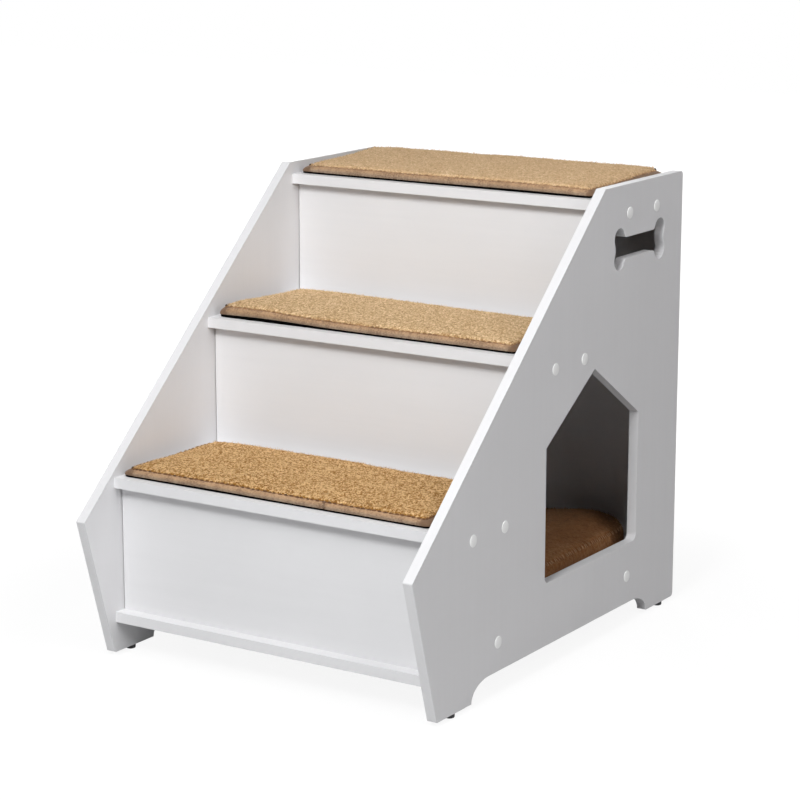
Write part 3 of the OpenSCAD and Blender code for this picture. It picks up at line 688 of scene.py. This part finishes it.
class Mat:
    """One loose mat: plush top, side band, foam, rubber backing and the seam between them."""

    def __init__(self, step, seed):
        self.step, self.body, self.seed = step, f"{step}_mat", seed
        band_low, band_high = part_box(f"{step}_mat_band")
        self.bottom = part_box(f"{step}_mat_backing")[0].z
        self.band_bottom, self.seam_h = band_low.z, band_high.z
        self.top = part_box(f"{step}_mat_plush")[1].z
        self.pad = Pad(band_low, band_high, MAT_CORNER_R)
        self.tuft_h = TUFT_H[step]
        self.uneven, self.tufts = Unevenness(seed), Tufts(seed + 1)

    def name(self, piece):
        return f"{self.step}_mat_{piece}"

    def add(self, piece, points, faces, slot, material, pile=None):
        """A piece of this mat, laid as the mat lies."""
        return make_piece(self.name(piece), self.lie(points), faces, self.body, slot, material, pile)

    def lie(self, points):
        """Points of a true mat moved to where they are on this one; its underside stays on the tread."""
        share = np.clip((points[:, :2] - self.pad.middle) / self.pad.half / 2 + 0.5, 0, 1)
        u, v = share.T
        weights = np.stack([(1 - u) * (1 - v), u * (1 - v), u * v, (1 - u) * v], 1)
        shift = weights @ (np.array(CORNERS[self.step]) * MM)
        # The back is lifted most; at the right end the lift starts nearer the front
        lift = shift[:, 2] * v ** (2 - 1.6 * u)
        place, reach, height = FRONT_LIFTS[self.step]
        lift += height * hump(u - place, reach) * (1 - v) ** 2
        # The backing's underside stays on the tread, so the black backing stretches to fill the gap under
        # lifted edges: a dark sheet standing for the shadow in that gap, painted shadow
        lift *= np.clip((points[:, 2] - self.bottom) / (self.band_bottom - self.bottom), 0, 1)
        above = np.clip((points[:, 2] - self.band_bottom) / (self.seam_h - self.band_bottom), 0, 1)
        middle = points[:, :2] - self.pad.middle
        corner = above * hump(np.linalg.norm(self.pad.half - np.abs(middle), axis=1), CORNER_REACH)
        drawn = shift[:, :2] - np.sign(middle) * (CORNER_IN * corner)[:, None]
        ends = rise(np.abs(middle[:, 0]) - self.pad.half[0] + END_PART, END_PART)
        drawn[:, 0] -= np.sign(middle[:, 0]) * (weights @ ENDS_IN[self.step]) * MM * ends * above ** 1.5
        if self.step in SWELLING:
            places, reaches, height = SWELLING[self.step]
            near = [hump(at - place, reach) for at, place, reach in zip((u, v), places, reaches)]
            lift += height * above * near[0] * near[1]
        return points + np.column_stack([drawn, lift - CORNER_DOWN * corner])

    def sag(self, xy):
        """Slow rise and fall of the whole mat, in height."""
        return self.uneven.wave(flat(xy), LONG_SAG) + self.uneven.wave(flat(xy) + 5.0, SHORT_SAG)

    def seam_path(self, along):
        """Points of the seam at distances along the mat's outline, and the outward directions there."""
        points, outward = self.pad.edge(along)
        wander = self.uneven.wave(flat(points), SEAM_WANDER)
        xy = points - outward * (SEAM_INSET + wander[:, None])
        return xy, outward, self.seam_h + self.sag(xy) * 0.5

    def inside_seam(self, xy):
        """How far inside the plush's edge each point lies."""
        return np.maximum(self.pad.inset(xy) - SEAM_INSET + PLUSH_LAP, 0)

    def top_shape(self, xy, inset):
        """Height of the plush's ground: rolled shoulders, then a low crown."""
        crown = self.top - self.seam_h - SHOULDER_H - self.tuft_h / 2
        from_end = xy[:, 0] - self.pad.middle[0] + self.pad.half[0] - SEAM_INSET
        reach = SHOULDER_REACH + END_REACH * hump(np.maximum(from_end, 0), END_WIDTH)
        return (self.seam_h - PLUSH_LAP + self.sag(xy) + SHOULDER_H * (1 - np.exp(-inset / reach))
                + crown * rise(inset, CROWN_REACH))

    def make_top(self):
        """Plush top: a crowned sheet with rolled shoulders, covered in small curly tufts."""
        xy, count = self.pad.grid(PLUSH_GRID, SEAM_INSET - PLUSH_LAP)
        inset = self.inside_seam(xy)
        warp = np.stack([self.uneven(flat(xy) + k, 1.6 * TUFT_SIZE) for k in (1.0, 2.0)], 1)
        dome, own = self.tufts(xy + warp * 0.8 * TUFT_SIZE, TUFT_SIZE)
        clumps = self.uneven(flat(xy) + 9.0, 4.5 * TUFT_SIZE)
        strays = 0.5 + 0.5 * self.uneven(flat(xy) + 21.0, 0.6 * TUFT_SIZE)
        tuft = 0.6 * dome * (0.4 + 0.6 * own) + 0.4 * strays
        relief = self.tuft_h * (tuft + 0.12 * clumps - 0.35)
        z = self.top_shape(xy, inset) + relief * (0.6 * rise(inset, 2.5 * MM) + 0.4 * rise(inset, 16 * MM))
        push = self.tuft_h * 0.45 * warp * rise(inset, 3 * MM)[:, None]
        middle = xy - self.pad.middle
        outward = np.sign(middle) * (self.pad.half - np.abs(middle) < 12 * MM)
        push += outward * (OVERHANG * hump(inset - 1.6 * MM, 1.5 * MM))[:, None]
        points = np.column_stack([xy + push, z])
        # Lightness kept in "pile": a random tone for each tuft and clump, lower between the domes, painted
        # shade between the curls, and lower along the edge, painted shade of the seam's groove
        pile = 0.13 + 0.40 * dome * (0.3 + 0.7 * own) + 0.29 * own + 0.33 * strays + 0.06 * clumps
        pile = np.clip(pile, 0, 1.2)
        pile *= 0.35 + 0.65 * rise(inset, 1.8 * MM)
        faces = grid_faces(count)
        rim = grid_rim(count)
        first, n = len(points), len(rim)
        for k in range(n):
            j = (k + 1) % n
            faces.append([int(rim[j]), int(rim[k]), first + k, first + j])
        faces.append([first + k for k in range(n)][::-1])
        points = np.vstack([points, points[rim] - UP * PLUSH_T])
        piece = self.add("pile", points, faces, "mat_plush", MAT_PLUSH[self.step],
                         np.concatenate([pile, np.zeros(n)]))
        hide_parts(self.name("plush"))

    def make_fibres(self):
        """Loose curled fibres that stand out of the plush, densest along the seam."""
        rng = np.random.default_rng(self.seed + 40)
        room = 2 * (self.pad.half - SEAM_INSET - 1.5 * MM)
        xy = self.pad.middle + (rng.random((LOOSE_FIBRES, 2)) - 0.5) * room
        along = rng.random(SEAM_FIBRES) * self.pad.length
        seam_xy, outward, _ = self.seam_path(along)
        xy = np.vstack([xy, seam_xy - outward * rng.uniform(0.2, 3.5, (SEAM_FIBRES, 1)) * MM])
        roots = np.column_stack([xy, self.top_shape(xy, self.inside_seam(xy)) - 0.2 * MM])
        points, faces, pile = strands(roots, rng, FIBRE_R)
        self.add("fibres", points, faces, "mat_plush", MAT_PLUSH[self.step], pile)

    def make_band(self):
        """Side band: upright at its foot, then rolled in to the seam, with small creases and one join."""
        along, edge, outward = self.pad.around(BAND_STEP)
        count = len(along)
        seam_xy, _, seam_z = self.seam_path(along)
        to_join = along - JOINS[self.step] * self.pad.length
        join = hump(to_join, JOIN_W) - 0.5 * hump(np.abs(to_join) - JOIN_EDGE_AT, JOIN_EDGE_W)
        rings, piles = [], []
        for share in np.linspace(0, 1, BAND_SECTION):
            z = self.band_bottom + share * (seam_z - self.band_bottom)
            z = z - FOOT_LIP * max(0, 1 - share / LIP_SHARE)
            place = np.column_stack([edge, z * 0.25])
            crease = sum(part * self.uneven(place + apart, size * MM) for part, apart, size in CREASES)
            depth = 0.5 * MM * math.sin(math.pi * min(1.0, share * 0.9 + 0.05))
            inset = band_inset(share) - depth * crease
            inset += JOIN_DEPTH * join * math.sin(math.pi * share) ** 0.5
            xy = seam_xy if share == 1 else edge - outward * inset[:, None]
            rings.append(np.column_stack([xy, z]))
            # Lightness kept in "pile": darker just under the seam and at the foot, painted shade; lighter
            # on the creases' ridges and darker in their hollows and in the join's groove, painted shade
            # too
            shade = 0.55 * rise(np.array(share - 0.80), 0.2) + 0.2 * (1 - rise(np.array(share), 0.4))
            piles.append(0.5 + 0.5 * crease - 0.7 * np.maximum(join, 0) - shade)
        for share in (1.0, 0.0):
            z = self.band_bottom + share * (seam_z - self.band_bottom - 0.9 * MM)
            rings.append(np.column_stack([edge - outward * (SEAM_INSET + 1.2 * MM), z]))
            piles.append(np.zeros(count))
        faces = ring_faces([*range(len(rings)), 0], count)
        piece = self.add("side", np.vstack(rings), faces, "mat_band", BAND_VELVET[self.step],
                         np.concatenate(piles))
        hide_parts(self.name("band"))

    def add_threads(self, piece, centres, outward, width, material):
        """Short threads of this mat as one piece."""
        points, faces = tubes(centres, flat(outward), np.tile(UP, (len(centres), 1)), width,
                              STITCH_RINGS, STITCH_SIDES)
        self.add(piece, points, faces, "mat_band", material)

    def make_seam(self):
        """Stitches along the seam that dip into the cloth at each end."""
        rng = np.random.default_rng(self.seed + 80)
        count = int(self.pad.length / (STITCH_L + STITCH_GAP))
        starts = (np.arange(count) + rng.uniform(-0.12, 0.12, count)) * self.pad.length / count
        lengths = STITCH_L * rng.uniform(0.7, 1.12, count)
        share = np.linspace(0, 1, STITCH_RINGS)
        xy, outward, z = self.seam_path((starts[:, None] + lengths[:, None] * share).ravel())
        bow = np.tile(np.sin(math.pi * share), count)
        sink = np.repeat(rng.uniform(-0.1, 0.5, count), STITCH_RINGS) * MM
        centres = np.column_stack([xy + outward * SEAM_OUT, z + SEAM_BOW * (bow - 1) - sink])
        self.add_threads("seam", centres, outward, thread_widths(count, STITCH_R), SEAM_THREAD[self.step])

    def make_knots(self):
        """Bunched thread where the seam turns the back right and front left corners."""
        rng = np.random.default_rng(self.seed + 100)
        run = 2 * (self.pad.half - MAT_CORNER_R)
        bend = math.pi / 2 * MAT_CORNER_R
        ends = np.array([run[1], run[1] * 2 + run[0] + bend * 2]) + bend / 2
        share = np.linspace(0, 1, STITCH_RINGS)
        reach = 1.5 * KNOT_R
        xy, outward, z = self.seam_path((ends[:, None] + reach * (2 * share - 1)).ravel())
        width = thread_widths(2, KNOT_R) * np.repeat(rng.uniform(0.8, 1.1, 2), STITCH_RINGS)
        centres = np.column_stack([xy + outward * KNOT_OUT, z + KNOT_UP])
        self.add_threads("knots", centres, outward, width, KNOT_THREAD)

    def make_frayed_join(self):
        """Loose threads where the side band's two ends meet."""
        rng = np.random.default_rng(self.seed + 120)
        count = FRAYED_THREADS
        along = JOINS[self.step] * self.pad.length + rng.normal(0, 1.0, count) * MM
        edge, outward = self.pad.edge(along)
        share = rng.uniform(0.1, 0.95, count)
        inset = np.array([band_inset(s) for s in share])
        z = self.band_bottom + share * (self.seam_h - self.band_bottom)
        roots = np.column_stack([edge - outward * (inset - 0.3 * MM)[:, None], z])
        heading = np.arctan2(outward[:, 1], outward[:, 0]) + rng.uniform(-0.9, 0.9, count)
        points, faces, _ = strands(roots, rng, FRAYED_R, FRAYED_L, FRAYED_CURL, heading)
        self.add("join", points, faces, "mat_band", LOOSE_THREAD)

    def make_backing(self):
        """Rubber backing: a thin slab with soft edges, a little uneven where it was cut."""
        _, edge, outward = self.pad.around(BACKING_STEP)
        cut = self.uneven.wave(flat(edge), BACKING_CUT)
        thick = self.band_bottom - self.bottom
        rim = thick - FOOT_LIP
        levels = [(inset * MM + cut, self.bottom + share * rim) for inset, share in BACKING_LEVELS]
        levels.append((FOOT_LIP_W + cut, self.bottom + thick))
        points, faces = closed_stack(edge, outward, levels)
        piece = self.add("rubber", points, faces, "mat_backing", BACKING_RUBBER)
        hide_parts(self.name("backing"))

    def make_foam(self):
        """Foam slab inside the cover."""
        low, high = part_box(self.name("core"))
        pad = Pad(low, high, MAT_CORNER_R - SEAM_INSET)
        _, edge, outward = pad.around(FOAM_STEP)
        thick = high.z - low.z - FOAM_LOWER
        levels = [(inset * MM, low.z + share * thick) for inset, share in FOAM_LEVELS]
        points, faces = closed_stack(edge, outward, levels)
        piece = self.add("foam", points, faces, "mat_foam", OPEN_FOAM)
        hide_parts(self.name("core"))

    def make(self):
        self.make_backing()
        self.make_foam()
        self.make_band()
        self.make_top()
        self.make_seam()
        self.make_knots()
        self.make_frayed_join()
        self.make_fibres()


def band_inset(share):
    """How far the band's face lies inside the mat's outline, from its foot, 0, to the seam, 1."""
    foot = FOOT_TUCK * max(0.0, 1 - share / FOOT_SHARE) ** 2
    lean = SEAM_INSET * max(0.0, (share - LEAN_FROM) / (1 - LEAN_FROM)) ** 2.1
    return foot + lean


for number, step in enumerate(STEPS):
    Mat(step, 3 + 7 * number).make()


# Den cushion: a filled pad with a sewn border, blown up as cloth and then finished
CUSHION_CORNER_R = 60 * MM
EDGE_H = 47 * MM
BORDER_INSET = 4 * MM
CLOTH_SHRINK = 2.5 * MM
VOXEL = 5 * MM
PRESSURE, CLOTH_FRAMES, SEAM_HOLD = 4.0, 20, 0.85
MOST_SWELL = 9 * MM
STRIP_TOP = 73 * MM
GATHER_PITCH, GATHER_DEPTH, GATHER_REACH = 8.5 * MM, 0.9 * MM, 13 * MM
# Start shape: how far inside, in mm, at heights in mm up the sides, then at shares of the crown
SIDE_LEVELS = ((10, 0), (3.5, 6), (0, 18), (0, 32), (1.5, 42))
CROWN_LEVELS = ((4, 0), (8, 0.28), (14, 0.46), (26, 0.66), (46, 0.82))
# Place, half size and height of the crown's hollow and of its fuller back corner
CROWN_FORMS = (((0.012, 0.262), (0.075, 0.070), -6.0 * MM), ((0.133, 0.250), (0.043, 0.055), 5.4 * MM))
# Waves of the top and of the cover: height and size; depth and width of the groove along the seam
TOP_WAVE, COVER_WAVE = (1.6 * MM, 55 * MM), (0.5 * MM, 11 * MM)
GROOVE_DEPTH, GROOVE_W = 1.0 * MM, 3.2 * MM
BORDER_STITCH_PITCH, BORDER_STITCH_R = 4.2 * MM, 0.5 * MM
CUSHION_FIBRES, CUSHION_FIBRE_R = 5200, 0.2 * MM


class Cushion:
    """Plush cushion on the den's floor."""

    body, slot = "cushion", "cushion_plush"

    def __init__(self):
        low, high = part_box("den_cushion")
        self.bottom, self.top = low.z, high.z
        self.pad = Pad(low, high, CUSHION_CORNER_R)
        self.uneven = Unevenness(91)
        self.seam_h = self.bottom + EDGE_H

    def start_shape(self):
        """Closed shape that the cloth starts from: upright sides, then a low crown."""
        _, edge, outward = self.pad.around(VOXEL)
        crown = self.top - self.seam_h
        levels = [(inset, self.bottom + high * MM) for inset, high in SIDE_LEVELS]
        levels += [(inset, self.seam_h + share * crown) for inset, share in CROWN_LEVELS]
        return closed_stack(edge, outward, [(CLOTH_SHRINK + inset * MM, z) for inset, z in levels])

    def blown(self, points, faces):
        """The shape after the cloth has swelled, as points and faces."""
        cloth = add_mesh("cloth", points, faces)
        remesh = cloth.modifiers.new("even faces", "REMESH")
        remesh.mode, remesh.voxel_size, remesh.use_smooth_shade = "VOXEL", VOXEL, True
        bake(cloth)
        before = vertex_places(cloth.data)
        held = cloth.vertex_groups.new(name="held")
        inset = self.pad.inset(before[:, :2]) - CLOTH_SHRINK
        to_seam = np.hypot(inset - BORDER_INSET, before[:, 2] - self.seam_h)
        for i, (height, away) in enumerate(zip(before[:, 2] - self.bottom, to_seam)):
            weight = 1.0 if height < 3 * MM else SEAM_HOLD * hump(away, 5 * MM)
            if weight > 0.05:
                held.add([i], weight, "REPLACE")
        self.swell(cloth)
        smooth = cloth.modifiers.new("finer faces", "SUBSURF")
        after = vertex_places(cloth.data)
        moved = after - before
        far = np.linalg.norm(moved, axis=1, keepdims=True)
        after = before + moved * np.minimum(1, MOST_SWELL / np.maximum(far, 1e-9))
        cloth.data.vertices.foreach_set("co", after.ravel())
        smooth.levels = 1
        bake(cloth)
        places = vertex_places(cloth.data)
        quads = [tuple(p.vertices) for p in cloth.data.polygons]
        bpy.data.objects.remove(cloth)
        return places, quads

    def swell(self, cloth):
        """Runs the cloth with air pressure and no weight, and keeps where it ends."""
        modifier = cloth.modifiers.new("swelling", "CLOTH")
        settings = modifier.settings
        settings.quality, settings.mass = 6, 0.3
        settings.tension_stiffness = settings.compression_stiffness = 18
        settings.shear_stiffness, settings.bending_stiffness = 8, 0.8
        settings.use_pressure, settings.uniform_pressure_force = True, PRESSURE
        settings.effector_weights.gravity = 0
        settings.vertex_group_mass = "held"
        modifier.point_cache.frame_start, modifier.point_cache.frame_end = 1, CLOTH_FRAMES
        for number in range(1, CLOTH_FRAMES + 1):
            bpy.context.scene.frame_set(number)
        bake(cloth)
        bpy.context.scene.frame_set(1)

    def finished(self, points):
        """Seam, gathers, hollow and small unevenness on the blown shape, within the space it has."""
        points = points.copy()
        inset = self.pad.inset(points[:, :2])
        height = points[:, 2] - self.bottom
        upper = rise(height, EDGE_H)
        for place, half, rise_h in CROWN_FORMS:
            off = (points[:, :2] - place) / half
            points[:, 2] += rise_h * np.exp(-(off ** 2).sum(1)) * upper
        points[:, 2] += self.uneven.wave(points, TOP_WAVE) * upper
        middle = points[:, :2] - self.pad.middle
        angle = np.arctan2(middle[:, 1], middle[:, 0])
        turn = angle * (self.pad.length / (2 * math.pi * GATHER_PITCH))
        ripple = np.sin(turn * 2 * math.pi + 2.5 * self.uneven(points, 30 * MM))
        to_seam = np.hypot(inset - BORDER_INSET - CLOTH_SHRINK, points[:, 2] - self.seam_h)
        near = hump(to_seam, GATHER_REACH)
        groove = hump(to_seam, GROOVE_W)
        outward = middle / np.linalg.norm(middle, axis=1, keepdims=True)
        slope = np.column_stack([outward * 0.7, np.full(len(points), 0.7)])
        shift = GATHER_DEPTH * ripple * near - GROOVE_DEPTH * groove
        points += slope * shift[:, None]
        points += self.uneven.wave(points + 3.0, COVER_WAVE)[:, None] * slope * upper[:, None]
        half = np.where(points[:, 2] < STRIP_TOP, self.pad.half[0], self.pad.half[0] + 4 * MM)
        points[:, 0] = np.clip(points[:, 0], -half, half)
        points[:, 1] = np.clip(points[:, 1], None, self.pad.middle[1] + self.pad.half[1] + 2 * MM)
        points[:, 2] = np.maximum(points[:, 2], self.bottom)
        pile = 0.45 + 0.28 * self.uneven(points + 7.0, 4.5 * MM) + 0.2 * self.uneven(points, 17 * MM)
        # Lighter along the border seam, a painted highlight, and darker in its groove, painted shade
        pile += 0.45 * near - 0.5 * groove
        return points, np.clip(pile, 0, 1.2)

    def make_border(self, points, faces):
        """Stitches across the border seam, and fuzz on it and on the top."""
        surface = BVHTree.FromPolygons([Vector(p) for p in points], faces)
        rng = np.random.default_rng(17)
        count = int(self.pad.length / BORDER_STITCH_PITCH)
        along = (np.arange(count) + rng.uniform(-0.25, 0.25, count)) / count * self.pad.length
        edge, outward = self.pad.edge(along)
        share = np.linspace(-1, 1, STITCH_RINGS)
        centres, across, lift = [], [], []
        for place, out in zip(edge, outward):
            for s in share:
                aim = place - out * (BORDER_INSET + CLOTH_SHRINK - 2.4 * MM * s)
                at, normal, _, _ = surface.find_nearest((*aim, self.seam_h - 1.6 * MM * s))
                centres.append(at + normal * (0.35 - 0.5 * s * s) * MM)
                side = normal.cross(Vector((*out, 0)))
                across.append(side.normalized())
                lift.append(normal)
        threads = tubes(np.array(centres), np.array(across), np.array(lift),
                        thread_widths(count, BORDER_STITCH_R), STITCH_RINGS, STITCH_SIDES)
        make_piece("cushion_stitches", *threads, self.body, self.slot, BORDER_THREAD)

        xy = self.pad.middle + (rng.random((CUSHION_FIBRES, 2)) - 0.5) * 2 * (self.pad.half - 12 * MM)
        along = rng.random(CUSHION_FIBRES // 3) * self.pad.length
        edge, outward = self.pad.edge(along)
        rim = edge - outward * (BORDER_INSET + CLOTH_SHRINK + rng.normal(0, 3, (len(along), 1)) * MM)
        roots = []
        for place in np.vstack([xy, rim]):
            hit = surface.ray_cast(Vector((*place, self.top + 20 * MM)), Vector((0, 0, -1)))[0]
            if hit is not None and hit.z > self.bottom + 25 * MM:
                roots.append(hit - Vector((0, 0, 0.3 * MM)))
        roots = np.array(roots)
        points, faces, pile = strands(roots, rng, CUSHION_FIBRE_R)
        make_piece("cushion_fibres", points, faces, self.body, self.slot, CUSHION_PLUSH, pile)

    def make(self):
        points, faces = self.blown(*self.start_shape())
        points, pile = self.finished(points)
        piece = make_piece("cushion_cover", points, faces, self.body, self.slot, CUSHION_PLUSH, pile)
        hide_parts("den_cushion")
        self.make_border(points, faces)


def vertex_places(mesh):
    places = np.empty(len(mesh.vertices) * 3)
    mesh.vertices.foreach_get("co", places)
    return places.reshape(-1, 3)


def bake(piece):
    """Applies a piece's modifiers."""
    graph = bpy.context.evaluated_depsgraph_get()
    baked = bpy.data.meshes.new_from_object(piece.evaluated_get(graph))
    piece.modifiers.clear()
    piece.data = baked


Cushion().make()


# Studio: pale floor, white surroundings and soft lamps
FLOOR_HALF = 6.0
FLOOR_BELOW = 0.2 * MM
# Share of glow near the object and far out, where the glow grows, and how bright it is
FLOOR_GLOW, FLOOR_GLOW_FAR, FLOOR_GLOW_FROM, FLOOR_GLOW_TO, FLOOR_WHITE = 0.80, 1.0, 0.40, 1.0, 1.12
AMBIENT = 0.05
COOL, ROSY, PLAIN = (0.988, 1.0, 1.003), (1.0, 0.988, 0.99), (1.0, 1.0, 1.0)
LAMPS = {
    # name: place, size, watts, colour
    "key": ((0.50, -2.55, 2.42), 0.8, 66, COOL),
    "front": ((0.30, -2.90, 1.20), 0.8, 5.5, COOL),
    "right_high": ((1.80, -0.30, 2.60), 1.4, 13, ROSY),
    "right_low": ((2.30, -0.60, 1.60), 1.4, 16.5, ROSY),
    "near": ((0.12, -0.80, 1.15), 0.5, 4.6, COOL),
    "back": ((-1.60, 2.40, 0.62), 1.0, 40, PLAIN),
}
AIM = Vector((0, 0, 0.27))


def seen_directly(nodes):
    """1 for camera, glossy and transmission rays, else 0."""
    rays = nodes.node("ShaderNodeLightPath").outputs
    seen = nodes.maths("MAXIMUM", rays["Is Camera Ray"], rays["Is Glossy Ray"])
    return nodes.maths("MAXIMUM", seen, rays["Is Transmission Ray"])


def make_floor():
    """Pale floor that shines white far out, so that it has no visible end."""
    s = FLOOR_HALF
    floor = add_mesh("floor", [(-s, -s, 0), (s, -s, 0), (s, s, 0), (-s, s, 0)], [(0, 1, 2, 3)])
    floor.location.z = -FLOOR_BELOW
    f = Finish("floor_pale")
    away = Value(f, f.node("ShaderNodeVectorMath", {"operation": "LENGTH"}, {0: f.place}).outputs["Value"])
    glow = f.node("ShaderNodeEmission", None, {"Color": (1, 1, 1), "Strength": FLOOR_WHITE}).outputs[0]
    lit = f.node("ShaderNodeBsdfDiffuse", None, {"Color": (0.58, 0.58, 0.58)}).outputs[0]
    share = FLOOR_GLOW + (FLOOR_GLOW_FAR - FLOOR_GLOW) * away.step(FLOOR_GLOW_FROM, FLOOR_GLOW_TO)
    rays = f.node("ShaderNodeLightPath").outputs
    mixed = f.node("ShaderNodeMixShader", None, {
        0: Value(f, rays["Is Camera Ray"]) * share, 1: lit, 2: glow})
    f.end(mixed.outputs[0])
    floor.data.materials.append(f.material)


def make_surroundings():
    """White surroundings that give little light of their own."""
    world = bpy.data.worlds.new("studio")
    bpy.context.scene.world = world
    world.use_nodes = True
    w = Nodes(world.node_tree, "ShaderNodeOutputWorld")
    soft, white = (
        w.node("ShaderNodeBackground", None, {"Color": (1, 1, 1), "Strength": strength}).outputs[0]
        for strength in (AMBIENT, 1.0))
    w.end(w.node("ShaderNodeMixShader", None, {0: seen_directly(w), 1: soft, 2: white}).outputs[0])


def make_lamps():
    for name, (place, size, watts, tint) in LAMPS.items():
        data = bpy.data.lights.new(name, "AREA")
        data.energy, data.size, data.color = watts, size, tint
        lamp = add_object(name, data)
        lamp.location = place
        lamp.rotation_euler = (AIM - Vector(place)).to_track_quat("-Z", "Y").to_euler()


make_camera()
make_floor()
make_surroundings()
make_lamps()
bpy.context.scene.view_settings.view_transform = "Standard"
